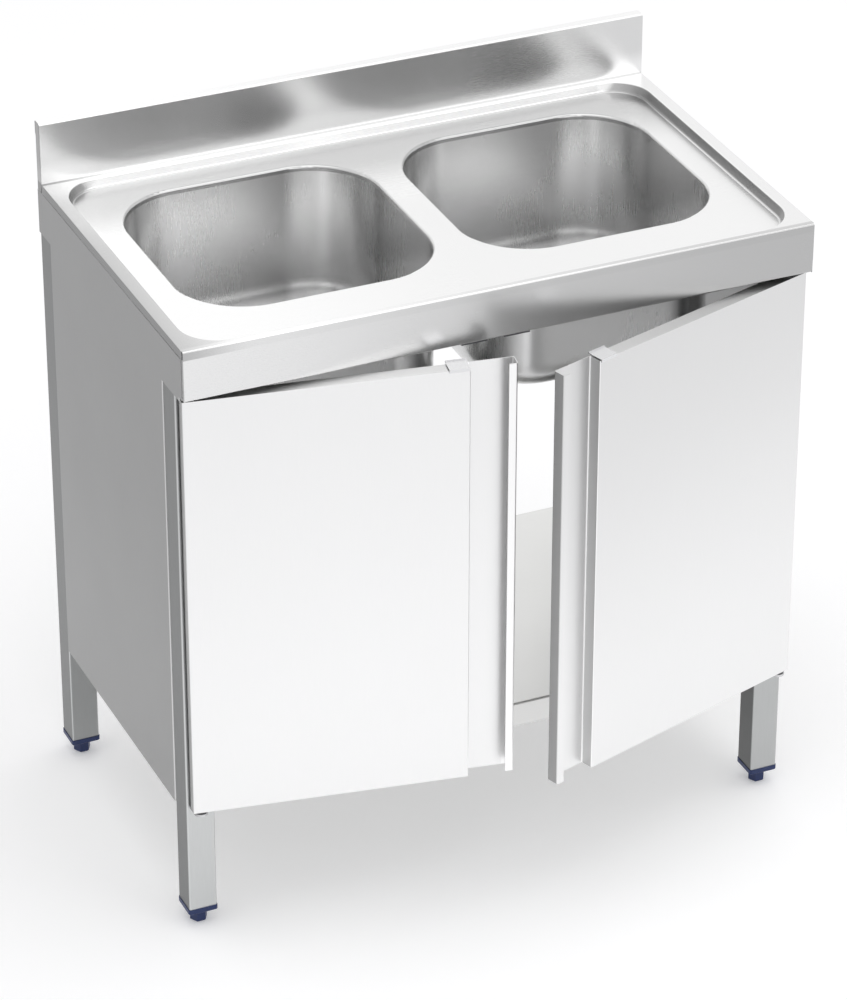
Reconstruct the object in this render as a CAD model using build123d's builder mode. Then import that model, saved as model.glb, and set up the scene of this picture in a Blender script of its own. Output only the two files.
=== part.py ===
from build123d import *
import math
import os

# Stainless-steel catering sink cabinet: pressed double-bowl worktop with a rear upstand, on a
# four-legged cabinet with side panels, a bottom shelf and two swing doors that stand ajar.
# Millimetres. X runs to the right, Y to the back, Z up. The origin is on the floor, at the
# centre of the worktop's footprint.

# ---------------------------------------------------------------- overall sizes
unit_width = 1000.0
unit_depth = 600.0
worktop_height = 1010.0
edge_reach = 0.01

# ---------------------------------------------------------------- worktop
worktop_sheet = 1.5
bend_radius = 3.0
rim_edge_radius = 0.9
apron_height = 80.0
apron_return = 10.0
apron_inset = 1.0
apron_side_return = 7.5
apron_relief_height = 20.0
apron_relief = 1.3
side_flange_height = 13.0
upstand_height = 100.0
upstand_thickness = 20.0
upstand_back_flange = 22.0
upstand_seam = 1.0
upstand_end_gap = 0.6

# sunken tray round the bowls
tray_side_margin = 21.0
tray_front_margin = 11.0
tray_back_margin = 10.0
tray_depth = 15.0
tray_corner = 62.0
tray_wall_slope = 15.0
tray_edge_radius = 1.4
tray_floor_radius = 4.0

# bowls
bowl_depth = 250.0
bowl_corner = 110.0
bowl_floor_radius = 60.0
bowl_wall = 1.2
bowl_spacing = 52.0
bowl_end_margin = 74.0
bowl_setback = 117.0
bowl_back_margin = 83.0
collar_height = 7.0
collar_bend = 2.5

# ---------------------------------------------------------------- waste fittings
waste_seat_radius = 44.0
waste_seat_depth = 3.0
waste_hole_radius = 30.0
strainer_radius = 42.0
strainer_thickness = 2.0
cup_radius = 26.0
cup_depth = 9.0
strainer_hole_radius = 3.0
inner_ring_radius = 11.5
inner_ring_holes = 6
outer_ring_radius = 20.5
outer_ring_holes = 12
screw_clearance = 0.2
screw_radius = 3.0
screw_head_radius = 6.0
screw_head_height = 2.0
screw_length = 40.0
gasket_radius = 42.0
gasket_hole_radius = 30.5
gasket_thickness = 3.0
waste_flange_radius = 41.0
waste_flange_thickness = 5.0
waste_neck_radius = 33.0
waste_neck_height = 16.0
waste_bore_radius = 29.0
tail_radius = 24.0
tail_bore_radius = 20.0
tail_length = 36.0
spider_thickness = 4.0
spider_arm = 5.0
spider_bite = 0.5
spider_boss_radius = 8.0

# ---------------------------------------------------------------- legs and feet
leg_size = 45.0
leg_wall = 1.5
leg_corner = 3.0
leg_setback = 41.0
leg_back_gap = 1.0
plug_head_height = 9.0
plug_overhang = 1.0
plug_stem_height = 28.0
plug_fit = 0.2
plug_wall = 2.5
plug_boss_radius = 10.0
plug_edge = 1.5
foot_height = 24.6
foot_gap = 0.3
foot_across_flats = 24.0
foot_chamfer = 3.0
foot_stem_radius = 5.0
foot_stem_length = 52.0
foot_stem_clearance = 0.1

# ---------------------------------------------------------------- side panels
panel_sheet = 1.2
panel_front_setback = 8.0
panel_lower_setback = 19.0
panel_top_gap = 1.0
panel_below_rail = 20.0
panel_return = 12.0
panel_bottom_return = 16.0
panel_leg_gap = 0.5
panel_bend = 2.0
panel_corner_relief = 3.0
notch_drop = 6.0

# ---------------------------------------------------------------- doors
door_sheet = 1.2
door_thickness = 22.0
door_meeting_gap = 5.0
door_side_gap = 3.5
door_setback = 12.0
door_rail_gap = 2.0
door_top_gap = 7.5
door_bend = 1.8
door_recess_width = 70.0
door_lip = 13.0
door_hinge_lip = 12.0
door_end_lip = 12.0
door_end_lip_gap = 2.0
liner_gap = 0.4
liner_fold = 5.0
door_left_angle = 9.8
door_right_angle = 17.6

# pivots
pivot_from_edge = 13.0
pivot_from_face = 9.0
pin_radius = 4.0
pin_clearance = 0.05
pin_reach = 14.0
bush_radius = 6.0
bush_fit = 0.02
bush_flange_radius = 8.5
bush_flange_thickness = 3.0
bush_length = 18.0
pivot_gap = 0.3
lug_thickness = 4.0
lug_width = 20.0

# clips on the door tops
clip_inset = 1.0
clip_width = 31.0
clip_gap = 1.5
clip_thickness = 1.0
clip_front_overhang = 2.2
clip_front_drop = 5.0
clip_back_overhang = 4.0
clip_back_lip = 1.7
clip_foot_width = 14.0
clip_foot_depth = 10.0

# ---------------------------------------------------------------- shelf and rails
shelf_sheet = 1.2
shelf_top = 264.0
shelf_front_gap = 1.6
shelf_side_gap = 0.3
shelf_flange = 20.0
shelf_back_inset = 35.0
shelf_leg_gap = 3.0
rail_sheet = 1.2
rail_bend = 1.8
rail_end_gap = 0.2
shelf_rail_height = 40.0
shelf_rail_foot = 20.0
shelf_rail_hem = 12.0
rail_hem_flat = 0.05
back_rail_height = 36.0
back_rail_depth = 22.0
back_rail_gap = 0.4
top_rail_height = 63.5
top_rail_depth = 24.0
back_top_rail_height = 78.5
stiffener_height = 24.0
stiffener_width = 26.0
stiffener_brim = 9.0
stiffener_gap = 0.2

# magnetic catches
catch_length = 42.0
catch_depth = 16.0
catch_height = 22.0
catch_door_gap = 1.5
catch_from_centre = 13.0
catch_corner = 2.0
catch_pole_thickness = 2.0
catch_pole_height = 14.0
catch_pole_reach = 0.8

# ---------------------------------------------------------------- places worked out from the sizes
front = -unit_depth / 2
back = unit_depth / 2
side = unit_width / 2
upstand_face = back - upstand_thickness
apron_bottom = worktop_height - apron_height
rim_underside = worktop_height - worktop_sheet
tray_front = front + tray_front_margin
tray_back = upstand_face - tray_back_margin
tray_floor = worktop_height - tray_depth
tray_underside = tray_floor - worktop_sheet
bowl_length = (unit_width - bowl_spacing) / 2 - bowl_end_margin
bowl_width = unit_depth - bowl_setback - bowl_back_margin
bowl_centre_x = (bowl_spacing + bowl_length) / 2
bowl_centre_y = front + bowl_setback + bowl_width / 2
collar_bottom = tray_underside - collar_height
bowl_floor = tray_floor - bowl_depth
seat_floor = bowl_floor - waste_seat_depth
leg_outer = side - panel_sheet
leg_inner = leg_outer - leg_size
leg_front = front + leg_setback
leg_back = back - leg_back_gap
plug_bottom = foot_height
tube_bottom = plug_bottom + plug_head_height
panel_top = worktop_height - side_flange_height - panel_top_gap
rail_bottom = shelf_top - shelf_rail_height
panel_bottom = rail_bottom - panel_below_rail
notch_top = apron_bottom - notch_drop
door_width = side - door_side_gap - door_meeting_gap
door_panel_width = door_width - door_recess_width
door_bottom = rail_bottom + door_rail_gap
door_top = apron_bottom - door_top_gap
door_height = door_top - door_bottom
recess_face = door_thickness - door_sheet
pivot_x = side - door_side_gap - pivot_from_edge
pivot_y = front + door_setback + pivot_from_face
rail_half = leg_inner - rail_end_gap
shelf_front = leg_front + 2 * rail_sheet + shelf_front_gap
shelf_back = leg_back - shelf_back_inset
shelf_underside = shelf_top - shelf_sheet
rear_rail_face = shelf_back - shelf_sheet - back_rail_gap

SIDES = {"left": -1, "right": 1}
LEG_Y = {"front": leg_front + leg_size / 2, "back": leg_back - leg_size / 2}

os.makedirs("parts", exist_ok=True)


def keep(part, name):
    """Name a finished piece and write it."""
    part.label = name
    export_step(part, f"parts/{name}.step")


def on_side(part, sign):
    """The left-hand piece itself, or its mirror image for the right-hand side."""
    return part if sign < 0 else mirror(part, about=Plane.YZ)


def at_bowl(part, sign):
    """The left-hand bowl's piece itself, or the same piece moved to the right-hand bowl."""
    return part if sign < 0 else part.moved(Location((2 * bowl_centre_x, 0, 0)))


def block(x, y, z, mode=Mode.ADD):
    """A straight block between two x, two y and two z values."""
    with Locations(((x[0] + x[1]) / 2, (y[0] + y[1]) / 2, (z[0] + z[1]) / 2)):
        Box(x[1] - x[0], y[1] - y[0], z[1] - z[0], mode=mode)


def folded(points, thickness, sheet_side, plane, radius):
    """Section of a folded sheet whose outer face follows the points, with rounded bends."""
    with BuildSketch(plane) as section:
        with BuildLine():
            FilletPolyline(*points, radius=radius)
            offset(amount=thickness, side=sheet_side)
        make_face()
    return section.sketch


# ================================================================ worktop
# One pressed sheet: flat rim, sunken tray with sloping walls, two openings with turned-down
# collars, a front apron with a return, shallow side flanges and the upstand at the back.


def tray_form(grow):
    """The tray's hollow, or with the sheet's thickness added, the outside of its walls."""
    with BuildPart() as form:
        with BuildSketch(Plane((0, (tray_front + tray_back) / 2, worktop_height))):
            RectangleRounded(
                unit_width - 2 * tray_side_margin + 2 * grow,
                tray_back - tray_front + 2 * grow,
                tray_corner + grow,
            )
        extrude(amount=-tray_depth - grow, taper=tray_wall_slope)
        fillet(form.faces().sort_by(Axis.Z)[0].edges(), tray_floor_radius + grow)
    return form.part


def opening_form(grow, start, end):
    """Round-cornered blocks over both bowl openings, from the start height down to the end."""
    with BuildPart() as form:
        with BuildSketch(Plane((0, bowl_centre_y, start))):
            with Locations((-bowl_centre_x, 0), (bowl_centre_x, 0)):
                RectangleRounded(bowl_length + 2 * grow, bowl_width + 2 * grow, bowl_corner + grow)
        extrude(amount=end - start)
    return form.part


def edges_at(part, height):
    """The edges of a piece that lie at one height."""
    return part.edges().filter_by_position(Axis.Z, height - edge_reach, height + edge_reach)


def round_a_bowl(edge):
    """Whether an edge belongs to the outline of a bowl opening or its collar."""
    return (
        abs(abs(edge.center().X) - bowl_centre_x) < bowl_length / 2 + 2 * worktop_sheet
        and abs(edge.center().Y - bowl_centre_y) < bowl_width / 2 + 2 * worktop_sheet
    )


def round_the_tray(edge):
    """Whether an edge belongs to the upper outline of the tray."""
    return (
        abs(edge.center().X) < side - tray_side_margin + worktop_sheet
        and tray_front - worktop_sheet < edge.center().Y < tray_back + worktop_sheet
    )


def along_the_side(edge):
    """Whether an edge is the long outer edge of the rim at one end of the unit."""
    return abs(abs(edge.center().X) - side) < edge_reach and edge.length > leg_size


tray_hollow = tray_form(0)
tray_outside = tray_form(worktop_sheet)
collar_outside = opening_form(worktop_sheet, tray_underside, collar_bottom)
collar_hollow = opening_form(0, tray_floor, collar_bottom)

apron_section = folded(
    [
        (front + bend_radius + worktop_sheet, worktop_height),
        (front, worktop_height),
        (front, apron_bottom),
        (front + apron_return, apron_bottom),
    ],
    worktop_sheet,
    Side.LEFT,
    Plane.YZ,
    bend_radius,
)
upstand_section = folded(
    [
        (upstand_face, rim_underside),
        (upstand_face, worktop_height + upstand_height),
        (back, worktop_height + upstand_height),
        (back, worktop_height + upstand_height - upstand_back_flange),
    ],
    worktop_sheet,
    Side.RIGHT,
    Plane.YZ,
    bend_radius,
)

with BuildPart() as worktop:
    rim_front = front + bend_radius + worktop_sheet
    block((-side, side), (rim_front, upstand_face + worktop_sheet), (rim_underside, worktop_height))
    extrude(apron_section, amount=side - apron_inset, both=True)
    extrude(upstand_section, amount=side, both=True)
    for end in (-1, 1):
        flange_x = sorted((end * side, end * (side - worktop_sheet)))
        apron_x = sorted((end * (side - apron_inset), end * (side - apron_inset - worktop_sheet)))
        relief_x = sorted((end * side, end * (side - apron_inset - apron_relief)))
        block(flange_x, (rim_front, upstand_face), (worktop_height - side_flange_height, worktop_height))
        block(
            apron_x,
            (front + worktop_sheet, front + apron_side_return),
            (apron_bottom + worktop_sheet, rim_underside),
        )
        block(
            relief_x,
            (front, front + apron_return),
            (apron_bottom, apron_bottom + apron_relief_height),
            mode=Mode.SUBTRACT,
        )
    add(tray_outside)
    add(collar_outside)
    fillet(edges_at(worktop, tray_underside).filter_by(round_a_bowl), collar_bend)
    add(tray_hollow, mode=Mode.SUBTRACT)
    add(collar_hollow, mode=Mode.SUBTRACT)
    fillet(edges_at(worktop, tray_floor).filter_by(round_a_bowl), collar_bend + worktop_sheet)
    # soften the rim's outer edges at both ends and its edge above the tray
    rim_ends = edges_at(worktop, worktop_height).filter_by(Axis.Y).filter_by(along_the_side)
    fillet(rim_ends, rim_edge_radius)
    fillet(edges_at(worktop, worktop_height).filter_by(round_the_tray), tray_edge_radius)
keep(worktop.part, "worktop")

# closing pieces at the ends of the upstand, set in under its top fold
with BuildPart() as upstand_end:
    block(
        (-side, -side + worktop_sheet),
        (upstand_face + worktop_sheet + upstand_seam, back - worktop_sheet - upstand_end_gap),
        (
            worktop_height - side_flange_height,
            worktop_height + upstand_height - worktop_sheet - upstand_end_gap,
        ),
    )
for name, sign in SIDES.items():
    keep(on_side(upstand_end.part, sign), f"upstand_end_{name}")


# ================================================================ bowls
# Deep-drawn bowls with generous corners, welded to the worktop's collars. The floor is pressed
# down round the waste hole.


def bowl_form(grow):
    """The bowl's hollow, or with the wall's thickness added, its outside."""
    with BuildPart() as form:
        with BuildSketch(Plane((-bowl_centre_x, bowl_centre_y, collar_bottom))):
            RectangleRounded(bowl_length + 2 * grow, bowl_width + 2 * grow, bowl_corner + grow)
        extrude(amount=bowl_floor - grow - collar_bottom)
        fillet(form.faces().sort_by(Axis.Z)[0].edges(), bowl_floor_radius + grow)
        with BuildSketch(Plane((-bowl_centre_x, bowl_centre_y, bowl_floor - grow))):
            Circle(waste_seat_radius + grow)
        extrude(amount=-waste_seat_depth)
    return form.part


with BuildPart() as bowl:
    add(bowl_form(bowl_wall))
    add(bowl_form(0), mode=Mode.SUBTRACT)
    with BuildSketch(Plane((-bowl_centre_x, bowl_centre_y, seat_floor))):
        Circle(waste_hole_radius)
    extrude(amount=-bowl_wall, mode=Mode.SUBTRACT)
for name, sign in SIDES.items():
    keep(at_bowl(bowl.part, sign), f"bowl_{name}")

# ================================================================ waste fittings
# Round plates through each bowl's hole: a dished strainer above, a gasket and a plastic body
# below, pulled together by one screw. The tail is plain for a trap's nut.

waste_axis = (-bowl_centre_x, bowl_centre_y)
strainer_top = seat_floor + strainer_thickness
cup_floor_top = strainer_top - cup_depth
gasket_top = seat_floor - bowl_wall
flange_top = gasket_top - gasket_thickness
neck_top = flange_top - waste_flange_thickness
neck_bottom = neck_top - waste_neck_height
tail_end = neck_bottom - tail_length

with BuildPart(Plane((*waste_axis, strainer_top))) as strainer:
    Cylinder(strainer_radius, strainer_thickness, align=(Align.CENTER, Align.CENTER, Align.MAX))
    Cylinder(
        cup_radius + strainer_thickness,
        cup_depth + strainer_thickness,
        align=(Align.CENTER, Align.CENTER, Align.MAX),
    )
    Cylinder(
        cup_radius,
        cup_depth,
        align=(Align.CENTER, Align.CENTER, Align.MAX),
        mode=Mode.SUBTRACT,
    )
    chamfer(
        edges_at(strainer, strainer_top).filter_by(GeomType.CIRCLE),
        strainer_thickness / 2,
    )
    with Locations((0, 0, -cup_depth)):
        Cylinder(
            screw_radius + screw_clearance,
            strainer_thickness,
            align=(Align.CENTER, Align.CENTER, Align.MAX),
            mode=Mode.SUBTRACT,
        )
        for ring_radius, holes in (
            (inner_ring_radius, inner_ring_holes),
            (outer_ring_radius, outer_ring_holes),
        ):
            with PolarLocations(ring_radius, holes):
                Cylinder(
                    strainer_hole_radius,
                    strainer_thickness,
                    align=(Align.CENTER, Align.CENTER, Align.MAX),
                    mode=Mode.SUBTRACT,
                )

with BuildPart(Plane((*waste_axis, gasket_top))) as gasket:
    Cylinder(gasket_radius, gasket_thickness, align=(Align.CENTER, Align.CENTER, Align.MAX))
    Cylinder(
        gasket_hole_radius,
        gasket_thickness,
        align=(Align.CENTER, Align.CENTER, Align.MAX),
        mode=Mode.SUBTRACT,
    )

with BuildPart() as waste_body:
    with BuildSketch(Plane((*waste_axis, 0), x_dir=(1, 0, 0), z_dir=(0, -1, 0))):
        with BuildLine():
            Polyline(
                (waste_bore_radius, flange_top),
                (waste_flange_radius, flange_top),
                (waste_flange_radius, neck_top),
                (waste_neck_radius, neck_top),
                (waste_neck_radius, neck_bottom + waste_flange_thickness),
                (tail_radius, neck_bottom),
                (tail_radius, tail_end),
                (tail_bore_radius, tail_end),
                (tail_bore_radius, neck_bottom),
                (waste_bore_radius, neck_bottom + waste_flange_thickness),
                (waste_bore_radius, flange_top),
            )
        make_face()
    revolve(axis=Axis((*waste_axis, 0), (0, 0, 1)))
    # cross bars that take the screw
    for turn in (0, 90):
        with Locations(Location((*waste_axis, neck_bottom), (0, 0, turn))):
            Box(
                2 * (tail_bore_radius + spider_bite),
                spider_arm,
                spider_thickness,
                align=(Align.CENTER, Align.CENTER, Align.MIN),
            )
    with Locations((*waste_axis, neck_bottom)):
        Cylinder(spider_boss_radius, spider_thickness, align=(Align.CENTER, Align.CENTER, Align.MIN))
        Cylinder(
            screw_radius + screw_clearance,
            spider_thickness,
            align=(Align.CENTER, Align.CENTER, Align.MIN),
            mode=Mode.SUBTRACT,
        )

with BuildPart(Plane((*waste_axis, cup_floor_top))) as waste_screw:
    Cylinder(screw_head_radius, screw_head_height, align=(Align.CENTER, Align.CENTER, Align.MIN))
    with Locations((0, 0, screw_head_height)):
        Cylinder(screw_radius, screw_length, align=(Align.CENTER, Align.CENTER, Align.MAX))
        Box(
            2 * screw_head_radius,
            screw_head_height / 2,
            screw_head_height / 2,
            align=(Align.CENTER, Align.CENTER, Align.MAX),
            mode=Mode.SUBTRACT,
        )

for name, sign in SIDES.items():
    keep(at_bowl(strainer.part, sign), f"waste_strainer_{name}")
    keep(at_bowl(gasket.part, sign), f"waste_gasket_{name}")
    keep(at_bowl(waste_body.part, sign), f"waste_body_{name}")
    keep(at_bowl(waste_screw.part, sign), f"waste_screw_{name}")

# ================================================================ legs, plugs and levelling feet
# Four square tubes run from the worktop to plastic plugs; a threaded foot hangs from each plug.


def leg_set(row):
    """One left-hand leg with its plug and its foot, in the front or the back row."""
    centre = (-(leg_outer + leg_inner) / 2, LEG_Y[row])
    with BuildPart() as leg:
        with BuildSketch(Plane((*centre, tube_bottom))):
            RectangleRounded(leg_size, leg_size, leg_corner)
            RectangleRounded(
                leg_size - 2 * leg_wall,
                leg_size - 2 * leg_wall,
                leg_corner - leg_wall,
                mode=Mode.SUBTRACT,
            )
        extrude(amount=tray_underside - tube_bottom)
    stem_size = leg_size - 2 * (leg_wall + plug_fit)
    with BuildPart() as plug:
        with BuildSketch(Plane((*centre, plug_bottom))):
            RectangleRounded(
                leg_size + 2 * plug_overhang,
                leg_size + 2 * plug_overhang,
                leg_corner + plug_overhang,
            )
        extrude(amount=plug_head_height)
        chamfer(plug.faces().sort_by(Axis.Z)[0].edges(), plug_edge)
        with BuildSketch(Plane((*centre, tube_bottom))):
            RectangleRounded(stem_size, stem_size, leg_corner - leg_wall)
            Rectangle(stem_size - 2 * plug_wall, stem_size - 2 * plug_wall, mode=Mode.SUBTRACT)
            Rectangle(stem_size - plug_wall, plug_wall)
            Rectangle(plug_wall, stem_size - plug_wall)
            Circle(plug_boss_radius)
        extrude(amount=plug_stem_height)
        with BuildSketch(Plane((*centre, plug_bottom))):
            Circle(foot_stem_radius + foot_stem_clearance)
        extrude(amount=plug_head_height + plug_stem_height, mode=Mode.SUBTRACT)
    with BuildPart() as foot:
        with BuildSketch(Plane.XY):
            with Locations(centre):
                RegularPolygon(foot_across_flats / 2, 6, major_radius=False)
        extrude(amount=plug_bottom - foot_gap)
        chamfer(foot.faces().sort_by(Axis.Z)[0].edges(), foot_chamfer)
        with BuildSketch(Plane((*centre, plug_bottom - foot_gap))):
            Circle(foot_stem_radius)
        extrude(amount=foot_stem_length)
    return leg.part, plug.part, foot.part


for row in LEG_Y:
    leg_part, plug_part, foot_part = leg_set(row)
    for name, sign in SIDES.items():
        keep(on_side(leg_part, sign), f"leg_{row}_{name}")
        keep(on_side(plug_part, sign), f"plug_{row}_{name}")
        keep(on_side(foot_part, sign), f"foot_{row}_{name}")

# ================================================================ side panels
# Each panel is one sheet flush with the worktop's side. It is cut away round the legs, so that
# they show, and folded in beside them and along the bottom.
panel_x = (-side, -side + panel_sheet)
field_front = leg_front + leg_size + panel_leg_gap
field_back = leg_back - leg_size - panel_leg_gap
beside_legs = folded(
    [
        (-side + panel_return, field_front),
        (-side, field_front),
        (-side, field_back),
        (-side + panel_return, field_back),
    ],
    panel_sheet,
    Side.RIGHT,
    Plane.XY.offset(panel_bottom + panel_corner_relief),
    panel_bend,
)
along_bottom = folded(
    [
        (-side, notch_top),
        (-side, panel_bottom),
        (-side + panel_bottom_return, panel_bottom),
    ],
    panel_sheet,
    Side.LEFT,
    Plane((0, field_back - panel_corner_relief, 0), x_dir=(1, 0, 0), z_dir=(0, -1, 0)),
    panel_bend,
)
with BuildPart() as side_panel:
    block(panel_x, (front + panel_front_setback, back), (apron_bottom, panel_top))
    block(panel_x, (front + panel_lower_setback, back), (notch_top, apron_bottom))
    extrude(beside_legs, amount=notch_top - panel_bottom - panel_corner_relief)
    extrude(along_bottom, amount=field_back - field_front - 2 * panel_corner_relief)
for name, sign in SIDES.items():
    keep(on_side(side_panel.part, sign), f"side_panel_{name}")

# ================================================================ shelf and rails
# The shelf is a folded tray cut out round the legs. Folded rails join the legs, and a hat
# section stiffens the worktop between the bowls.
shelf_x = leg_outer - shelf_side_gap
shelf_notch_x = leg_inner - shelf_leg_gap
shelf_notch_front = leg_front + leg_size + shelf_leg_gap
shelf_notch_back = leg_back - leg_size - shelf_leg_gap
with BuildPart() as bottom_shelf:
    block((-shelf_notch_x, shelf_notch_x), (shelf_front, shelf_back), (shelf_underside, shelf_top))
    block(
        (-shelf_x, shelf_x),
        (shelf_notch_front, shelf_notch_back),
        (shelf_underside, shelf_top),
    )
    for flange_y in (shelf_front, shelf_back - shelf_sheet):
        block(
            (-shelf_notch_x, shelf_notch_x),
            (flange_y, flange_y + shelf_sheet),
            (shelf_top - shelf_flange, shelf_underside),
        )
    for flange_x in (-shelf_x, shelf_x - shelf_sheet):
        block(
            (flange_x, flange_x + shelf_sheet),
            (shelf_notch_front, shelf_notch_back),
            (shelf_top - shelf_flange, shelf_underside),
        )
    shelf_ends = edges_at(bottom_shelf, shelf_top).filter_by(Axis.X).group_by(Axis.Y)
    fillet(shelf_ends[0] + shelf_ends[-1], shelf_sheet)
keep(bottom_shelf.part, "bottom_shelf")


def rail(points, sheet_side):
    """A folded rail between the left and right legs."""
    with BuildPart() as piece:
        section = folded(points, rail_sheet, sheet_side, Plane.YZ, rail_bend)
        extrude(section, amount=rail_half, both=True)
    return piece.part


with BuildPart() as shelf_rail_front:
    add(
        rail(
            [
                (leg_front + shelf_rail_foot, rail_bottom),
                (leg_front, rail_bottom),
                (leg_front, shelf_top),
            ],
            Side.RIGHT,
        )
    )
    block(
        (-rail_half, rail_half),
        (leg_front + rail_sheet, leg_front + 2 * rail_sheet),
        (shelf_top - shelf_rail_hem, shelf_top),
    )
    fillet(edges_at(shelf_rail_front, shelf_top).filter_by(Axis.X), rail_sheet - rail_hem_flat)
keep(shelf_rail_front.part, "shelf_rail_front")
keep(
    rail(
        [
            (rear_rail_face - back_rail_depth, shelf_underside),
            (rear_rail_face, shelf_underside),
            (rear_rail_face, shelf_underside - back_rail_height),
            (rear_rail_face - back_rail_depth, shelf_underside - back_rail_height),
        ],
        Side.RIGHT,
    ),
    "shelf_rail_rear",
)
keep(
    rail(
        [
            (leg_front + top_rail_depth, tray_underside),
            (leg_front, tray_underside),
            (leg_front, tray_underside - top_rail_height),
            (leg_front + top_rail_depth, tray_underside - top_rail_height),
        ],
        Side.LEFT,
    ),
    "top_rail_front",
)
keep(
    rail(
        [
            (leg_back - top_rail_depth, rim_underside),
            (leg_back, rim_underside),
            (leg_back, rim_underside - back_top_rail_height),
            (leg_back - top_rail_depth, rim_underside - back_top_rail_height),
        ],
        Side.RIGHT,
    ),
    "top_rail_rear",
)

stiffener_bottom = tray_underside - stiffener_height
half_web = stiffener_width / 2
with BuildPart() as centre_stiffener:
    hat = folded(
        [
            (-half_web - stiffener_brim, tray_underside),
            (-half_web, tray_underside),
            (-half_web, stiffener_bottom),
            (half_web, stiffener_bottom),
            (half_web, tray_underside),
            (half_web + stiffener_brim, tray_underside),
        ],
        rail_sheet,
        Side.RIGHT,
        Plane((0, leg_front + top_rail_depth + stiffener_gap, 0), x_dir=(1, 0, 0), z_dir=(0, -1, 0)),
        rail_bend,
    )
    extrude(hat, amount=leg_front - leg_back + 2 * (top_rail_depth + stiffener_gap))
keep(centre_stiffener.part, "centre_stiffener")

# ================================================================ pivot lugs
# Flat tongues welded to the front legs, each with a round pin that the door turns on.


def pivot_lug(bottom, pin_from, pin_to):
    """A tongue at the given height with its pin between two heights."""
    with BuildPart() as lug:
        with BuildSketch(Plane.XY.offset(bottom)):
            with Locations((-pivot_x, pivot_y)):
                Circle(lug_width / 2)
            with Locations((-pivot_x, (pivot_y + leg_front) / 2)):
                Rectangle(lug_width, leg_front - pivot_y)
        extrude(amount=lug_thickness)
        with BuildSketch(Plane((-pivot_x, pivot_y, pin_from))):
            Circle(pin_radius)
        extrude(amount=pin_to - pin_from)
    return lug.part


lower_lug_top = door_bottom - bush_flange_thickness - pivot_gap
upper_lug_bottom = apron_bottom
lower_lug = pivot_lug(
    lower_lug_top - lug_thickness, lower_lug_top, lower_lug_top + pin_reach
)
upper_lug = pivot_lug(
    upper_lug_bottom, door_top + bush_flange_thickness - pin_reach, upper_lug_bottom
)
for name, sign in SIDES.items():
    keep(on_side(lower_lug, sign), f"pivot_lug_bottom_{name}")
    keep(on_side(upper_lug, sign), f"pivot_lug_top_{name}")

# ================================================================ doors
# Each door is a folded sheet: flat front, full-height finger recess at the free edge, and a
# narrow lip beyond it. A liner closes the back. Everything is laid out in the door's own frame:
# u along the front from the hinge edge, v into the thickness.


def door_plane(angle, height):
    """Plane at the hinge corner of a left-hand door turned open by the angle."""
    turn = math.radians(angle)
    along = Vector(math.cos(turn), -math.sin(turn), 0)
    across = Vector(math.sin(turn), math.cos(turn), 0)
    corner = Vector(-pivot_x, pivot_y, height) - along * pivot_from_edge - across * pivot_from_face
    return Plane(corner, x_dir=along, z_dir=(0, 0, 1))


def door_skin(angle):
    """Front sheet with the recess, the returns and the closed ends of its flat field."""
    section = folded(
        [
            (door_hinge_lip, door_thickness),
            (0, door_thickness),
            (0, 0),
            (door_panel_width, 0),
            (door_panel_width, recess_face),
            (door_width - door_sheet, recess_face),
            (door_width - door_sheet, door_sheet),
            (door_width - door_lip, door_sheet),
        ],
        door_sheet,
        Side.LEFT,
        door_plane(angle, door_bottom),
        door_bend,
    )
    with BuildPart(door_plane(angle, door_bottom)) as skin:
        extrude(section, amount=door_height)
        for end in (0, door_height - door_sheet):
            with BuildSketch(door_plane(angle, door_bottom + end)) as cap:
                with Locations((door_panel_width / 2, door_thickness / 2)):
                    Rectangle(door_panel_width, door_thickness)
                fillet(cap.vertices(), door_bend)
                with Locations((pivot_from_edge, pivot_from_face)):
                    Circle(bush_radius + bush_fit, mode=Mode.SUBTRACT)
            extrude(amount=door_sheet)
        lip_u = (door_hinge_lip + door_end_lip_gap, door_panel_width - door_end_lip)
        block(lip_u, (recess_face, door_thickness), (door_sheet, door_end_lip))
        block(
            lip_u,
            (recess_face, door_thickness),
            (door_height - door_end_lip, door_height - door_sheet),
        )
    return skin.part


def door_liner(angle):
    """Flat inner sheet with its edges folded towards the front."""
    u = (door_sheet + liner_gap, door_panel_width - door_sheet - liner_gap)
    v = (recess_face - liner_gap - liner_fold, recess_face - liner_gap)
    w = (door_sheet + liner_gap, door_height - door_sheet - liner_gap)
    with BuildPart(door_plane(angle, door_bottom)) as liner:
        block(u, v, w)
        block(
            (u[0] + door_sheet, u[1] - door_sheet),
            (v[0], v[1] - door_sheet),
            (w[0] + door_sheet, w[1] - door_sheet),
            mode=Mode.SUBTRACT,
        )
    return liner.part


def door_bush(angle, mouth, inward):
    """Flanged plastic bush for the pivot pin; inward is +1 at the bottom and -1 at the top."""
    plane = door_plane(angle, mouth)
    with BuildPart(plane) as bush:
        with BuildSketch(plane):
            with Locations((pivot_from_edge, pivot_from_face)):
                Circle(bush_radius)
        extrude(amount=inward * bush_length)
        with BuildSketch(plane):
            with Locations((pivot_from_edge, pivot_from_face)):
                Circle(bush_flange_radius)
        extrude(amount=-inward * bush_flange_thickness)
        with BuildSketch(door_plane(angle, mouth - inward * bush_flange_thickness)):
            with Locations((pivot_from_edge, pivot_from_face)):
                Circle(pin_radius + pin_clearance)
        extrude(amount=inward * bush_length, mode=Mode.SUBTRACT)
    return bush.part


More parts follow.
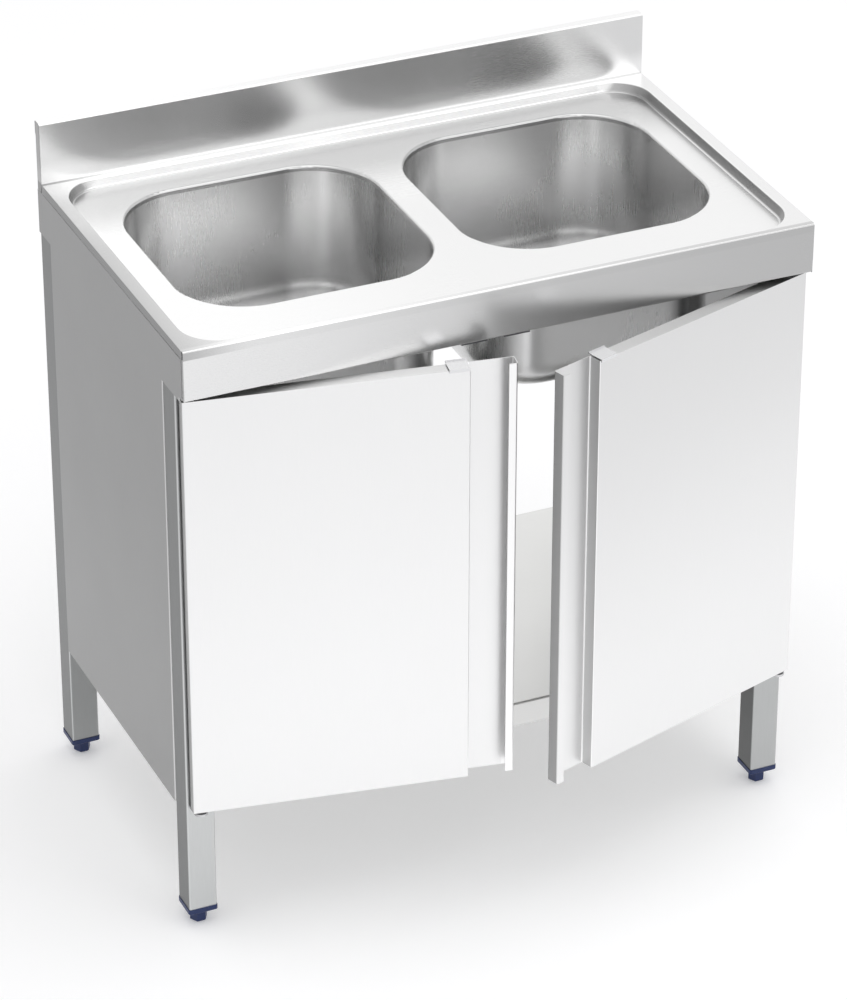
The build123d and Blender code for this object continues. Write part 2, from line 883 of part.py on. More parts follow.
def door_clip(angle):
    """Thin plate over the door's top edge, hooked over the front and turned up at the back."""
    u = (door_panel_width - clip_inset - clip_width, door_panel_width - clip_inset)
    v = (-clip_front_overhang, door_thickness + clip_back_overhang)
    plate_top = clip_gap + clip_thickness
    foot_u = (u[0] + u[1]) / 2
    foot_v = door_thickness / 2
    with BuildPart(door_plane(angle, door_top)) as clip:
        block(u, v, (clip_gap, plate_top))
        block(u, (v[0], v[0] + clip_thickness), (plate_top - clip_front_drop, plate_top))
        block(u, (v[1] - clip_thickness, v[1]), (clip_gap, plate_top + clip_back_lip))
        block(
            (foot_u - clip_foot_width / 2, foot_u + clip_foot_width / 2),
            (foot_v - clip_foot_depth / 2, foot_v + clip_foot_depth / 2),
            (0, clip_gap),
        )
    return clip.part


for name, sign in SIDES.items():
    opened = door_left_angle if sign < 0 else door_right_angle
    keep(on_side(door_skin(opened), sign), f"door_{name}_skin")
    keep(on_side(door_liner(opened), sign), f"door_{name}_liner")
    keep(on_side(door_clip(opened), sign), f"door_{name}_clip")
    keep(on_side(door_bush(opened, door_bottom, 1), sign), f"door_{name}_bush_bottom")
    keep(on_side(door_bush(opened, door_top, -1), sign), f"door_{name}_bush_top")

# ================================================================ magnetic catches
# Plastic housings under the front top rail; two steel poles face the closed door's liner.
door_back_closed = front + door_setback + door_thickness
catch_front = door_back_closed + catch_door_gap
catch_x = (-catch_from_centre - catch_length, -catch_from_centre)
catch_z = (apron_bottom - catch_height, apron_bottom)
with BuildPart() as catch:
    block(catch_x, (catch_front, catch_front + catch_depth), catch_z)
    fillet(catch.edges().filter_by(Axis.Z), catch_corner)
    for pole_x in (catch_x[0] + catch_length / 4, catch_x[1] - catch_length / 4):
        block(
            (pole_x - catch_pole_thickness / 2, pole_x + catch_pole_thickness / 2),
            (catch_front - catch_pole_reach, catch_front + catch_corner),
            (
                apron_bottom - catch_height / 2 - catch_pole_height / 2,
                apron_bottom - catch_height / 2 + catch_pole_height / 2,
            ),
        )
for name, sign in SIDES.items():
    keep(on_side(catch.part, sign), f"catch_{name}")
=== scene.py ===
import math

import bmesh
import bpy
from mathutils import Matrix, Vector


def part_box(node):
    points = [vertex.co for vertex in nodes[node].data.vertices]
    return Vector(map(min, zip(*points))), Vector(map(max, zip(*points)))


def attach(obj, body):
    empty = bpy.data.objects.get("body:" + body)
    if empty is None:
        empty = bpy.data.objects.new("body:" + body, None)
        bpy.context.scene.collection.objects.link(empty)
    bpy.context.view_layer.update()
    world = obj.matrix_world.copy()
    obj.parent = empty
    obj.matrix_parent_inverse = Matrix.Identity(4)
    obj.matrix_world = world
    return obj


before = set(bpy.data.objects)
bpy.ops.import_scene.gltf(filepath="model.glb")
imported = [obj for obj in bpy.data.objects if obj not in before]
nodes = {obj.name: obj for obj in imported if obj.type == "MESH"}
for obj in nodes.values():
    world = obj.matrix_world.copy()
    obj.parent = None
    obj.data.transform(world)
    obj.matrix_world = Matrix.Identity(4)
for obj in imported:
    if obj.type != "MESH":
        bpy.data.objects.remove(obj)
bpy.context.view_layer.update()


# ------------------------------------------------------------------ legs
# Four square tubes of satin-polished stainless steel, drawn lengthwise, so that the fine grain
# of the polish runs up and down. They stand between worktop and plugs and carry everything.
def feed(tree, value, socket):
    """Link a value that comes from a socket, or set one that is a plain number or colour."""
    if isinstance(value, bpy.types.NodeSocket):
        tree.links.new(value, socket)
    else:
        socket.default_value = value


def work_out(tree, operation, *values, kind="ShaderNodeMath"):
    """Put a sum into a node tree, with its values in order, and give its result."""
    node = tree.nodes.new(kind)
    node.operation = operation
    inside = [socket for socket in node.inputs if socket.enabled]
    for value, socket in zip(values, inside):
        feed(tree, value, socket)
    return next(socket for socket in node.outputs if socket.enabled)


def work_out_vector(tree, operation, *values):
    """The same for colours, places and directions."""
    return work_out(tree, operation, *values, kind="ShaderNodeVectorMath")


def add_noise(tree, place, scale, detail=2.0, roughness=0.5):
    """Put a noise into a node tree and give its value."""
    noise = tree.nodes.new("ShaderNodeTexNoise")
    noise.inputs["Scale"].default_value = scale
    noise.inputs["Detail"].default_value = detail
    noise.inputs["Roughness"].default_value = roughness
    tree.links.new(place, noise.inputs["Vector"])
    return noise.outputs["Fac"]


def new_effect(name, given, made):
    """Start a shared effect: a node group with its named inputs and outputs."""
    group = bpy.data.node_groups.new(name, "ShaderNodeTree")
    for in_out, sockets in (("INPUT", given), ("OUTPUT", made)):
        for label, kind in sockets:
            group.interface.new_socket(label, in_out=in_out, socket_type=f"NodeSocket{kind}")
    ins = group.nodes.new("NodeGroupInput").outputs
    outs = group.nodes.new("NodeGroupOutput").inputs
    place = group.nodes.new("ShaderNodeTexCoord").outputs
    return group, ins, outs, place


def grain_and_painted_light_group():
    """Grain and soft clouds of a belt-polished sheet, as varying colour, roughness and height,
    with painted shade by the way a face looks and painted highlights on the bends.
    """
    given = (
        ("Steel", "Color"),
        ("Shine", "Float"),
        ("Stretch", "Vector"),
        ("Facing", "Vector"),
        ("Bend Highlight", "Float"),
        ("Grain", "Float"),
        ("Clouds", "Float"),
    )
    made = (("Colour", "Color"), ("Roughness", "Float"), ("Height", "Float"))
    group, ins, outs, place = new_effect("grain_and_painted_light", given, made)
    stretched = work_out_vector(group, "MULTIPLY", place["Object"], ins["Stretch"])
    lines = add_noise(group, stretched, scale=1.0, detail=3.0, roughness=0.7)
    cloud = add_noise(group, place["Object"], scale=5.0)
    # both noises are centred on zero before they are weighed
    fine = work_out(group, "MULTIPLY", work_out(group, "SUBTRACT", lines, 0.5), ins["Grain"])
    broad = work_out(group, "MULTIPLY", work_out(group, "SUBTRACT", cloud, 0.5), ins["Clouds"])
    both = work_out(group, "ADD", fine, broad)
    # painted shade: a face is made lighter or darker by the way that it looks, as the light falls
    # on it
    square = work_out_vector(group, "MULTIPLY", place["Normal"], place["Normal"])
    share = work_out_vector(group, "DOT_PRODUCT", square, ins["Facing"])
    # bends and corners look between the axes and get a painted highlight
    fourth = work_out_vector(group, "DOT_PRODUCT", square, square)
    between = work_out(group, "SUBTRACT", 1.0, fourth)
    tone = work_out(group, "MULTIPLY_ADD", between, ins["Bend Highlight"], share)
    level = work_out(group, "MULTIPLY_ADD", both, tone, tone)
    group.links.new(work_out_vector(group, "SCALE", ins["Steel"], level), outs["Colour"])
    group.links.new(work_out(group, "SUBTRACT", ins["Shine"], both), outs["Roughness"])
    group.links.new(lines, outs["Height"])
    return group


def soft_step_group():
    """A value that goes smoothly from one level to another along a direction of the piece."""
    levels = (("Start", "From Min"), ("End", "From Max"), ("Low", "To Min"), ("High", "To Max"))
    given = [("Along", "Vector")] + [(label, "Float") for label, _ in levels]
    group, ins, outs, place = new_effect("soft_step", given, [("Value", "Float")])
    along = work_out_vector(group, "DOT_PRODUCT", place["Object"], ins["Along"])
    step = group.nodes.new("ShaderNodeMapRange")
    step.interpolation_type = "SMOOTHSTEP"
    group.links.new(along, step.inputs["Value"])
    for label, socket in levels:
        group.links.new(ins[label], step.inputs[socket])
    group.links.new(step.outputs["Result"], outs["Value"])
    return group


grain_and_painted_light = grain_and_painted_light_group()
soft_step = soft_step_group()


def add_effect(tree, group, values):
    """Place a shared effect in a material, with this material's own values."""
    node = tree.nodes.new("ShaderNodeGroup")
    node.node_tree = group
    for label, value in values.items():
        node.inputs[label].default_value = value
    return node


def add_step(tree, along, start, end, low=0.0, high=1.0):
    """Put a soft step into a material and give its value."""
    values = {"Along": along, "Start": start, "End": end, "Low": low, "High": high}
    return add_effect(tree, soft_step, values).outputs["Value"]


def blend_value(tree, kind, share, first, second):
    """First where the share is 0, second where it is 1."""
    mix = tree.nodes.new("ShaderNodeMix")
    mix.data_type = kind
    inside = [socket for socket in mix.inputs if socket.enabled]
    for value, socket in zip((share, first, second), inside):
        feed(tree, value, socket)
    return next(socket for socket in mix.outputs if socket.enabled)


def new_finish(name):
    """Start a material and give it with its nodes and its shader."""
    material = bpy.data.materials.new(name)
    material.use_nodes = True
    tree = material.node_tree
    return material, tree, tree.nodes["Principled BSDF"]


def add_relief(tree, height, strength, depth):
    """Let a height stand out of the surface of a material."""
    relief = tree.nodes.new("ShaderNodeBump")
    relief.name = "relief"
    relief.inputs["Strength"].default_value = strength
    relief.inputs["Distance"].default_value = depth
    tree.links.new(height, relief.inputs["Height"])
    tree.links.new(relief.outputs["Normal"], tree.nodes["Principled BSDF"].inputs["Normal"])


def painted_light_step(along, start, end, low, high, where=None):
    """Painted light and shade: a gradual change of a sheet's tone along a direction.

    start and end are metres along the direction, low and high the tones there, and where the
    area of the sheet that changes: a direction, and where the area begins and is full.
    """
    return (along, start, end, low, high), where


def polished_steel_with_painted_light(
    name, steel, shine, stretch, facing_shade, bend_highlight=0.1, grain=0.08, clouds=0.04, bump=0.006, painted_light_steps=()
):
    """Stainless steel with the polishing grain and with painted light and shade.

    stretch is the grain's density along X, Y and Z, facing_shade the painted shade and light of
    the faces that look along X, Y and Z, and bend_highlight how much brighter the bends are
    painted.
    """
    material, tree, shader = new_finish(name)
    shader.inputs["Metallic"].default_value = 1.0
    values = {
        "Steel": (*steel, 1.0),
        "Shine": shine,
        "Stretch": stretch,
        "Facing": facing_shade,
        "Bend Highlight": bend_highlight,
        "Grain": grain,
        "Clouds": clouds,
    }
    grain_and_light = add_effect(tree, grain_and_painted_light, values)
    grain_and_light.name = "grain_and_light"
    colour = grain_and_light.outputs["Colour"]
    # painted light and shade: the sheet's tone changes along the given directions
    for change, where in painted_light_steps:
        tone = add_step(tree, *change)
        if where:
            tone = blend_value(tree, "FLOAT", add_step(tree, *where), 1.0, tone)
        colour = work_out_vector(tree, "SCALE", colour, tone)
    tree.links.new(colour, shader.inputs["Base Color"])
    tree.links.new(grain_and_light.outputs["Roughness"], shader.inputs["Roughness"])
    add_relief(tree, grain_and_light.outputs["Height"], bump, GRAIN_DEPTH)
    return material


def finish_node(name, material):
    """Give a carried-over CAD node its real finish."""
    mesh = nodes[name].data
    if not mesh.materials:
        mesh.materials.append(material)
    for place in range(len(mesh.materials)):
        mesh.materials[place] = material


TO_RIGHT = (1, 0, 0)
TO_BACK = (0, 1, 0)
TO_FRONT = (0, -1, 0)
TO_TOP = (0, 0, 1)
TO_FLOOR = (0, 0, -1)
GRAIN_ALONG_Z = (1500.0, 1500.0, 30.0)
GRAIN_DEPTH = 0.0005
# the front faces of the back legs begin here
SHADED_BACK_LEG_FRONTS = (TO_FRONT, -0.2546, -0.2541)

leg_steel = polished_steel_with_painted_light(
    "leg_steel",
    steel=(0.56, 0.57, 0.57),
    shine=0.34,
    stretch=GRAIN_ALONG_Z,
    # painted shade on the side faces and a painted highlight on the bends
    facing_shade=(0.31, 1.0, 1.0),
    bend_highlight=0.7,
    grain=0.12,
    painted_light_steps=[
        # painted shade: darker towards the top and towards the right, and the back legs' front
        # faces much darker, where the unit shades them
        painted_light_step(TO_TOP, start=0.15, end=0.90, low=1.0, high=0.84),
        painted_light_step(TO_RIGHT, start=-0.45, end=0.45, low=1.08, high=0.84),
        painted_light_step(TO_BACK, start=-0.20, end=0.20, low=1.0, high=0.58, where=SHADED_BACK_LEG_FRONTS),
    ],
)
for row in ("front", "back"):
    for side in ("left", "right"):
        finish_node(f"leg_{row}_{side}", leg_steel)


# ------------------------------------------------------------------ plugs and levelling feet
# Navy-blue moulded plastic: a square plug closes each tube, and a hexagonal foot with a threaded
# stem screws into it to level the unit.
def spread(tree, value, middle, reach):
    """A value from 0 to 1, spread evenly about a middle."""
    range_node = tree.nodes.new("ShaderNodeMapRange")
    range_node.inputs["To Min"].default_value = middle - reach
    range_node.inputs["To Max"].default_value = middle + reach
    tree.links.new(value, range_node.inputs["Value"])
    return range_node.outputs["Result"]


def moulded_plastic(name, colour, roughness):
    """Plain moulded plastic with the slight orange peel of a textured mould."""
    material, tree, shader = new_finish(name)
    place = tree.nodes.new("ShaderNodeTexCoord").outputs["Object"]
    peel = add_noise(tree, place, scale=900.0)
    wear = add_noise(tree, place, scale=60.0, detail=4.0)
    tint = work_out_vector(tree, "SCALE", colour, spread(tree, wear, 1.0, reach=0.15))
    tree.links.new(tint, shader.inputs["Base Color"])
    tree.links.new(spread(tree, wear, roughness, reach=0.06), shader.inputs["Roughness"])
    add_relief(tree, peel, PEEL_STRENGTH, PEEL_DEPTH)
    return material


def cut_thread(material, above, pitch):
    """Add thread rings to a moulded material above a height of the piece."""
    tree = material.node_tree
    relief = tree.nodes["relief"]
    peel = relief.inputs["Height"].links[0].from_socket
    rings = tree.nodes.new("ShaderNodeTexWave")
    rings.bands_direction = "Z"
    # a wave of scale 1 repeats every tenth of pi
    rings.inputs["Scale"].default_value = math.pi / 10 / pitch
    place = tree.nodes.new("ShaderNodeTexCoord")
    tree.links.new(place.outputs["Object"], rings.inputs["Vector"])
    stem = add_step(tree, TO_TOP, above, above + THREAD_RUN_IN)
    height = blend_value(tree, "FLOAT", stem, peel, rings.outputs["Fac"])
    strength = blend_value(tree, "FLOAT", stem, PEEL_STRENGTH, THREAD_STRENGTH)
    tree.links.new(height, relief.inputs["Height"])
    tree.links.new(strength, relief.inputs["Strength"])
    relief.inputs["Distance"].default_value = THREAD_DEPTH


PEEL_STRENGTH = 0.15
PEEL_DEPTH = 0.0002
THREAD_RUN_IN = 0.0005
THREAD_STRENGTH = 0.9
THREAD_DEPTH = 0.0006
NAVY = (0.009, 0.024, 0.105)

plug_blue = moulded_plastic("plug_blue", NAVY, roughness=0.40)
foot_blue = moulded_plastic("foot_blue", NAVY, roughness=0.40)
cut_thread(foot_blue, above=0.0243, pitch=0.0015)
for row in ("front", "back"):
    for side in ("left", "right"):
        finish_node(f"plug_{row}_{side}", plug_blue)
        finish_node(f"foot_{row}_{side}", foot_blue)

# ------------------------------------------------------------------ side panels
# Thin stainless sheets with a satin finish, cut out round the legs and folded in beside them,
# spot-welded to the tubes.
panel_steel = polished_steel_with_painted_light(
    "panel_steel",
    steel=(0.72, 0.72, 0.72),
    shine=0.40,
    stretch=GRAIN_ALONG_Z,
    # painted shade on the faces that look along X, and a painted highlight on the bends
    facing_shade=(0.45, 1.0, 1.0),
    bend_highlight=0.3,
    # painted shade: darker towards the top
    painted_light_steps=[painted_light_step(TO_TOP, start=0.25, end=0.80, low=1.04, high=0.89)],
)
for side in ("left", "right"):
    finish_node(f"side_panel_{side}", panel_steel)

# ------------------------------------------------------------------ shelf, rails and stiffener
# Folded stainless sheet. The shelf is a shallow tray turned upside down between the legs; rails
# and the hat section under the worktop are welded to the tubes.
GRAIN_ALONG_X = (30.0, 1500.0, 1500.0)
GRAIN_ALONG_Y = (1500.0, 30.0, 1500.0)

# painted shade on the faces that look along X (on the shelf also along Y), and a slight painted
# highlight on the bends
shelf_steel = polished_steel_with_painted_light(
    "shelf_steel",
    steel=(0.80, 0.80, 0.79),
    shine=0.36,
    stretch=GRAIN_ALONG_X,
    facing_shade=(0.5, 0.9, 1.0),
    grain=0.05,
)
stiffener_steel = polished_steel_with_painted_light(
    "stiffener_steel",
    steel=(0.70, 0.70, 0.70),
    shine=0.38,
    stretch=GRAIN_ALONG_Y,
    facing_shade=(0.5, 1.0, 1.0),
)
finish_node("bottom_shelf", shelf_steel)
for row in ("front", "rear"):
    finish_node(f"shelf_rail_{row}", shelf_steel)
    finish_node(f"top_rail_{row}", shelf_steel)
finish_node("centre_stiffener", stiffener_steel)

# ------------------------------------------------------------------ worktop
# One pressed stainless sheet with the polish running along its length: rim, sunken tray,
# apron and upstand. Two small plates close the ends of the upstand.
# painted light and shade: the tones of the faces that look along X, Y and Z, on the sheet, its
# collars and the tray's back wall
WORKTOP_FACING_SHADE = (0.30, 0.67, 1.0)
COLLAR_FACING_LIGHT = (0.85, 0.95, 1.0)
TRAY_BACK_FACING_LIGHT = (0.35, 1.13, 1.0)
APRON = (TO_FRONT, 0.288, 0.292)
BEHIND_APRON = (TO_BACK, -0.285, -0.282)
TRAY_FLOOR = (TO_FLOOR, -0.9975, -0.9965)
ABOVE_TRAY_FLOOR = (TO_TOP, 0.9955, 0.9965)
UNDER_TRAY_FLOOR = (TO_FLOOR, -0.9949, -0.9935)
BEHIND_TRAY = (TO_BACK, 0.262, 0.266)
BELOW_RIM = (TO_FLOOR, -1.0104, -1.0096)
UPSTAND = (TO_TOP, 1.0112, 1.0120)

worktop_steel = polished_steel_with_painted_light(
    "worktop_steel",
    steel=(0.88, 0.88, 0.88),
    shine=0.27,
    stretch=GRAIN_ALONG_X,
    facing_shade=WORKTOP_FACING_SHADE,
    bend_highlight=0.0,
    grain=0.02,
    clouds=0.02,
    bump=0.0008,
    painted_light_steps=[
        # painted light and shade: the apron is lighter at its left end, the tray darker behind the
        # bowls
        painted_light_step(TO_RIGHT, start=-0.55, end=0.50, low=1.13, high=0.74, where=APRON),
        painted_light_step(TO_BACK, start=0.06, end=0.26, low=1.04, high=0.55, where=TRAY_FLOOR),
        # painted shade: the sheet is a little darker towards the right
        painted_light_step(TO_RIGHT, start=-0.46, end=0.05, low=1.09, high=0.98),
        # painted highlight: the upstand is lightest along its foot
        painted_light_step(TO_TOP, start=1.020, end=1.055, low=1.35, high=1.07, where=UPSTAND),
        # painted shade: the rim grows darker towards its left end, but the upstand above it
        # doesn't
        painted_light_step(TO_RIGHT, start=-0.52, end=-0.38, low=0.60, high=1.0, where=ABOVE_TRAY_FLOOR),
        painted_light_step(TO_RIGHT, start=-0.52, end=-0.38, low=1.67, high=1.0, where=UPSTAND),
    ],
)


def overlap(tree, first, second):
    """The share of two areas that both of them cover."""
    return work_out(tree, "MULTIPLY", add_step(tree, *first), add_step(tree, *second))


def paint_fold_highlights(material):
    """Painted highlights on the collars of the openings and the tray's wall at the back, where
    they catch the light.
    """
    tree = material.node_tree
    collars = overlap(tree, UNDER_TRAY_FLOOR, BEHIND_APRON)
    tray_back = overlap(tree, BEHIND_TRAY, BELOW_RIM)
    facing_shade = blend_value(tree, "VECTOR", collars, WORKTOP_FACING_SHADE, COLLAR_FACING_LIGHT)
    facing_shade = blend_value(tree, "VECTOR", tray_back, facing_shade, TRAY_BACK_FACING_LIGHT)
    tree.links.new(facing_shade, tree.nodes["grain_and_light"].inputs["Facing"])


paint_fold_highlights(worktop_steel)
finish_node("worktop", worktop_steel)
for side in ("left", "right"):
    finish_node(f"upstand_end_{side}", worktop_steel)

# ------------------------------------------------------------------ corner welds
# The relief at each lower corner of the apron is closed with a weld of stainless filler, ground
# flush with the sheet and brushed over with it.
SHEET = 0.001
RELIEF_WIDTH = 0.0013
WELD_DEPTH = 0.0075
WELD_ROUNDING = 0.0008
ROUNDING_STEPS = 5
WELD_FOOT = 0.930
WELD_HEIGHT = 0.020
WELD_RINGS = 24
RIPPLE = 0.03
RIPPLE_TURN = 2.4


def weld_outline(side_x, front_y):
    """The weld's L-shaped section round the corner, seen from above at the right-hand end."""
    outline = [(side_x - RELIEF_WIDTH, front_y + SHEET), (side_x - RELIEF_WIDTH, front_y)]
    for turn in range(ROUNDING_STEPS + 1):
        angle = math.pi / 2 * turn / ROUNDING_STEPS
        x = side_x - WELD_ROUNDING + WELD_ROUNDING * math.sin(angle)
        y = front_y + WELD_ROUNDING - WELD_ROUNDING * math.cos(angle)
        outline.append((x, y))
    inner_y = front_y + WELD_DEPTH
    outline += [(side_x, inner_y), (side_x - SHEET, inner_y), (side_x - SHEET, front_y + SHEET)]
    return outline


def corner_weld(name, end):
    """One weld, at the left end (-1) or the right end (1)."""
    low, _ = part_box("worktop")
    side_x = abs(low.x) - SHEET
    outline = weld_outline(side_x, low.y)
    shape = bmesh.new()
    rows = []
    for ring in range(WELD_RINGS + 1):
        z = WELD_FOOT + WELD_HEIGHT * ring / WELD_RINGS
        # the filler's fine ripples are left where the grinding only brushed them
        ripple = 1.0 - RIPPLE * math.sin(ring * RIPPLE_TURN) ** 2
        row = [(end * (side_x - (side_x - x) * ripple), y, z) for x, y in outline]
        rows.append([shape.verts.new(point) for point in row])
    count = len(outline)
    for below, above in zip(rows, rows[1:]):
        for place in range(count):
            following = (place + 1) % count
            corners = (below[place], below[following], above[following], above[place])
            shape.faces.new(corners)
    shape.faces.new(rows[0][::-1])
    shape.faces.new(rows[-1])
    bmesh.ops.recalc_face_normals(shape, faces=shape.faces)
    mesh = bpy.data.meshes.new(name)
    shape.to_mesh(mesh)
    shape.free()
    weld = bpy.data.objects.new(name, mesh)
    bpy.context.scene.collection.objects.link(weld)
    mesh.materials.append(worktop_steel)
    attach(weld, "carcass")


corner_weld("corner_weld_left", -1)
corner_weld("corner_weld_right", 1)

# ------------------------------------------------------------------ bowls
# Deep-drawn stainless bowls, welded into the worktop's collars. The drawing and the later
# brushing leave an even satin with faint upright bands on the walls.
BOWL_BANDS = (300.0, 300.0, 20.0)
BOWL_FLOOR = (TO_FLOOR, -0.80, -0.765)
LEFT_END_REACH = 0.24

# per bowl: the painted shade of its end walls, where its left end begins, and the painted tone
# there
for side, end_wall_shade, left_end, left_end_light in (
    ("left", 0.74, -0.38, 1.16),
    ("right", 0.84, 0.04, 0.97),
):
    left_end_stop = left_end + LEFT_END_REACH
    bowl_steel = polished_steel_with_painted_light(
        f"bowl_steel_{side}",
        steel=(0.84, 0.84, 0.84),
        shine=0.27,
        stretch=BOWL_BANDS,
        facing_shade=(end_wall_shade, 0.94, 0.93),
        # painted highlight on the upright corners and bends
        bend_highlight=0.28,
        grain=0.02,
        bump=0.0015,
        painted_light_steps=[
            # painted light and shade: lighter towards the rim, the floor darker towards the back,
            # and the left end of each bowl given a painted tone of its own
            painted_light_step(TO_TOP, start=0.80, end=0.96, low=0.94, high=1.06),
            painted_light_step(TO_BACK, start=-0.12, end=0.12, low=1.0, high=0.48, where=BOWL_FLOOR),
            painted_light_step(TO_RIGHT, start=left_end, end=left_end_stop, low=left_end_light, high=1.0),
        ],
    )
    finish_node(f"bowl_{side}", bowl_steel)

# ------------------------------------------------------------------ waste fittings
# A polished stainless strainer and screw above, a black rubber gasket and a white plastic body
# below the bowl's floor.
# a slight painted highlight on the bends
strainer_steel = polished_steel_with_painted_light(
    "strainer_steel",
    steel=(0.78, 0.78, 0.79),
    shine=0.16,
    stretch=(90.0, 90.0, 90.0),
    facing_shade=(1.0, 1.0, 1.0),
)
waste_white = moulded_plastic("waste_white", (0.76, 0.76, 0.73), roughness=0.38)
gasket_black = moulded_plastic("gasket_black", (0.02, 0.02, 0.02), roughness=0.70)
for side in ("left", "right"):
    finish_node(f"waste_strainer_{side}", strainer_steel)
    finish_node(f"waste_screw_{side}", strainer_steel)
    finish_node(f"waste_gasket_{side}", gasket_black)
    finish_node(f"waste_body_{side}", waste_white)

# ------------------------------------------------------------------ pivot lugs
# Flat stainless tongues with a round pin each, welded to the front faces of the front legs.
# The doors turn on these pins.
# painted shade on the faces that look along X, and a slight painted highlight on the bends
lug_steel = polished_steel_with_painted_light(
    "lug_steel",
    steel=(0.66, 0.66, 0.67),
    shine=0.34,
    stretch=GRAIN_ALONG_Y,
    facing_shade=(0.5, 1.0, 1.0),
)
for side in ("left", "right"):
    for height in ("bottom", "top"):
        finish_node(f"pivot_lug_{height}_{side}", lug_steel)

# ------------------------------------------------------------------ doors
# Each door is a folded stainless sheet with its grain upright, a flat liner inside, a thin clip
# over the top edge and nylon bushes at the pivots, coloured dark grey, which also paints in the
# shade at the pivots. The doors stand ajar.
HINGE_X = 0.4835
HINGE_Y = -0.279
# the step down into the finger recess and the lip, measured from the hinge across the door
RECESS_STEP = 0.4085
STEP_START = (-0.0012, -0.0006)
STEP_END = (0.0020, 0.0030)
LIP_START = (0.055, 0.058)
# painted highlight on the step down into the finger recess
STEP_HIGHLIGHT = 1.42

# painted shade on the faces that look along X, and a slight painted highlight on the bends
liner_steel = polished_steel_with_painted_light(
    "liner_steel",
    steel=(0.74, 0.74, 0.74),
    shine=0.38,
    stretch=GRAIN_ALONG_Z,
    facing_shade=(0.4, 1.0, 1.0),
)
# painted shade on the faces that look along X and Y, and a slight painted highlight on the bends
clip_steel = polished_steel_with_painted_light(
    "clip_steel",
    steel=(0.80, 0.80, 0.81),
    shine=0.22,
    stretch=GRAIN_ALONG_X,
    facing_shade=(0.5, 0.9, 1.0),
)
# the bushes' dark grey also stands in for the shade at the pivots
bush_grey = moulded_plastic("bush_grey", (0.10, 0.10, 0.105), roughness=0.32)

# per door: its end of the unit, the angle at which it stands ajar, the painted tones at its foot
# and at its top (painted shade, darker upwards) and the painted highlight on its lip
for side, end, ajar, foot_tone, top_shade, lip_highlight in (
    ("left", -1, 9.8, 1.03, 0.93, 1.10),
    ("right", 1, 17.6, 0.99, 0.78, 1.0),
):
    turn = math.radians(ajar)
    across = Vector((-end * math.cos(turn), -math.sin(turn), 0.0))
    step = across.dot(Vector((end * HINGE_X, HINGE_Y, 0.0))) + RECESS_STEP
    step_start, step_end, lip = (
        (step + start, step + full) for start, full in (STEP_START, STEP_END, LIP_START)
    )
    door_steel = polished_steel_with_painted_light(
        f"door_steel_{side}",
        steel=(0.88, 0.88, 0.88),
        shine=0.36,
        stretch=GRAIN_ALONG_Z,
        # painted shade on the side faces and a painted highlight on the bends
        facing_shade=(0.40, 1.0, 1.0),
        bend_highlight=0.3,
        grain=0.04,
        clouds=0.02,
        painted_light_steps=[
            # painted shade towards the top, and painted highlights on the recess step and on the
            # lip
            painted_light_step(TO_TOP, start=0.25, end=1.0, low=foot_tone, high=top_shade),
            painted_light_step(across, *step_end, low=STEP_HIGHLIGHT, high=1.0, where=(across, *step_start)),
            painted_light_step(across, *lip, low=1.0, high=lip_highlight),
        ],
    )
    finish_node(f"door_{side}_skin", door_steel)
    finish_node(f"door_{side}_liner", liner_steel)
    finish_node(f"door_{side}_clip", clip_steel)
    for height in ("bottom", "top"):
        finish_node(f"door_{side}_bush_{height}", bush_grey)

# ------------------------------------------------------------------ magnetic catches
# Grey moulded plastic housings, hung under the front top rail. A magnet inside each holds its
# door shut.
catch_grey = moulded_plastic("catch_grey", (0.12, 0.12, 0.13), roughness=0.5)
for side in ("left", "right"):
    finish_node(f"catch_{side}", catch_grey)


# ------------------------------------------------------------------ floor
# A plain white studio floor that shows the unit's soft shadow. It glows a little where the
# camera or a reflection sees it, so that it runs into the white background.
def seen_share(tree):
    """1 where the camera, a reflection or a view through something sees the surface, else 0."""
    path = tree.nodes.new("ShaderNodeLightPath").outputs
    seen = work_out(tree, "MAXIMUM", path["Is Camera Ray"], path["Is Glossy Ray"])
    return work_out(tree, "MAXIMUM", seen, path["Is Transmission Ray"])


def studio_floor(reach, white, glow):
    """A square of floor about the unit, reach metres each way."""
    mesh = bpy.data.meshes.new("floor")
    corners = [(-reach, -reach, 0), (reach, -reach, 0), (reach, reach, 0), (-reach, reach, 0)]
    mesh.from_pydata(corners, [], [(0, 1, 2, 3)])
    floor = bpy.data.objects.new("floor", mesh)
    bpy.context.scene.collection.objects.link(floor)
    material, tree, shader = new_finish("floor_white")
    shader.inputs["Base Color"].default_value = (white, white, white, 1.0)
    shader.inputs["Roughness"].default_value = 0.9
    shader.inputs["Specular IOR Level"].default_value = 0.0
    shader.inputs["Emission Color"].default_value = (1, 1, 1, 1)
    strength = work_out(tree, "MULTIPLY", seen_share(tree), glow)
    tree.links.new(strength, shader.inputs["Emission Strength"])
    mesh.materials.append(material)
    return floor


studio_floor(reach=30.0, white=0.86, glow=0.24)


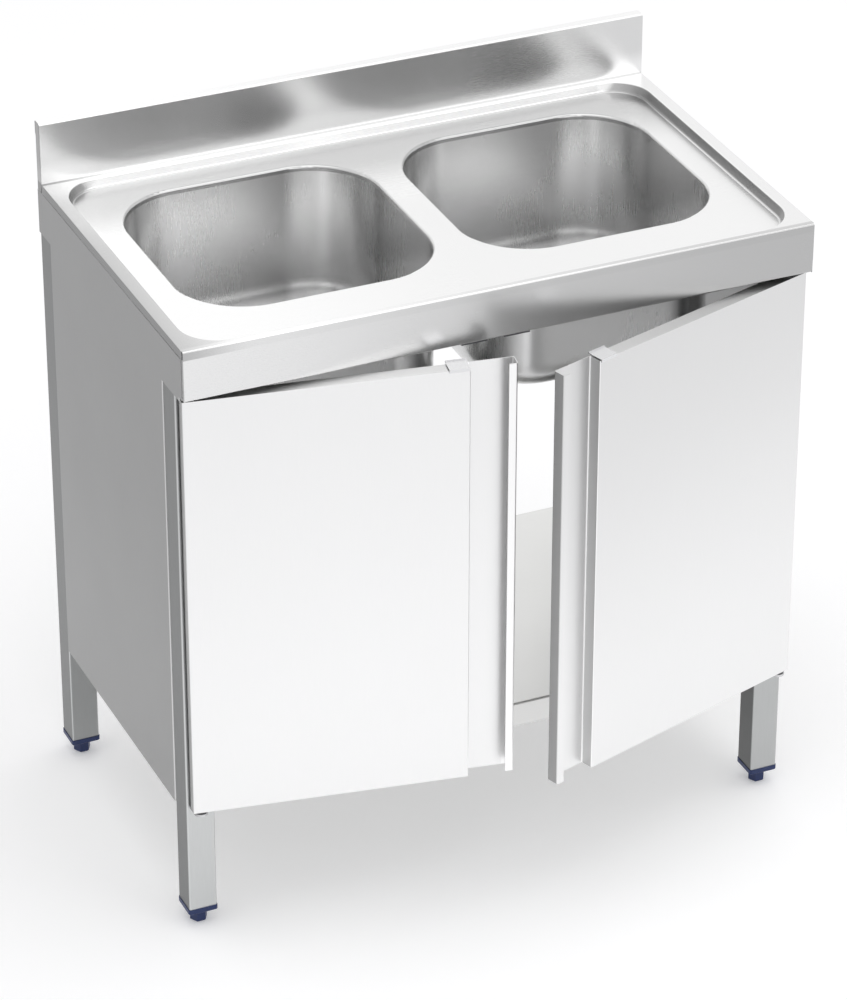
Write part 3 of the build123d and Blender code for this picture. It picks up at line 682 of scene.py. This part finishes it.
# ------------------------------------------------------------------ light
# Plain studio light: large soft panels above and in front, and an even grey surround, which the
# camera and the reflections see as white.
def soft_panel(name, place, aim, size, power):
    """A large rectangular lamp, aimed at a point of the unit."""
    light = bpy.data.lights.new(name, "AREA")
    light.shape = "RECTANGLE"
    light.size, light.size_y = size
    light.energy = power
    lamp = bpy.data.objects.new(name, light)
    bpy.context.scene.collection.objects.link(lamp)
    lamp.location = place
    lamp.rotation_euler = (Vector(aim) - Vector(place)).to_track_quat("-Z", "Y").to_euler()


def studio_surround(grey, strength):
    """The world: grey to the unit, white where it is seen."""
    world = bpy.data.worlds.new("studio")
    bpy.context.scene.world = world
    world.use_nodes = True
    tree = world.node_tree
    tree.nodes.clear()
    unseen = tree.nodes.new("ShaderNodeBackground")
    unseen.inputs["Color"].default_value = grey
    unseen.inputs["Strength"].default_value = strength
    seen = tree.nodes.new("ShaderNodeBackground")
    seen.inputs["Color"].default_value = (1, 1, 1, 1)
    mix = tree.nodes.new("ShaderNodeMixShader")
    out = tree.nodes.new("ShaderNodeOutputWorld")
    tree.links.new(seen_share(tree), mix.inputs["Fac"])
    tree.links.new(unseen.outputs[0], mix.inputs[1])
    tree.links.new(seen.outputs[0], mix.inputs[2])
    tree.links.new(mix.outputs[0], out.inputs["Surface"])


soft_panel("top_light", place=(0.3, -0.6, 6.0), aim=(0, 0, 0.8), size=(6.0, 4.8), power=90)
soft_panel("front_light", place=(2.4, -5.0, 3.6), aim=(0, 0, 0.4), size=(3.3, 2.9), power=30)
studio_surround(grey=(0.78, 0.78, 0.79, 1), strength=0.95)

# ------------------------------------------------------------------ camera
# The photograph's view: a long lens from the front left, 30 degrees above the horizon, found by
# laying the unit's straight edges over those of the photograph.
camera_data = bpy.data.cameras.new("camera")
camera = bpy.data.objects.new("camera", camera_data)
bpy.context.scene.collection.objects.link(camera)
eye = Vector((-2.4722, -5.5896, 4.0323))
forward = Vector((0.35035, 0.79159, -0.50064))
right = Vector((0.914595, -0.404371, 0.000657))
up = right.cross(forward)
camera.matrix_world = Matrix.Translation(eye) @ Matrix((right, up, -forward)).transposed().to_4x4()
camera_data.lens = 164.7
camera_data.sensor_width = 36
camera_data.clip_end = 100
bpy.context.scene.camera = camera

bpy.context.scene.view_settings.view_transform = "Standard"
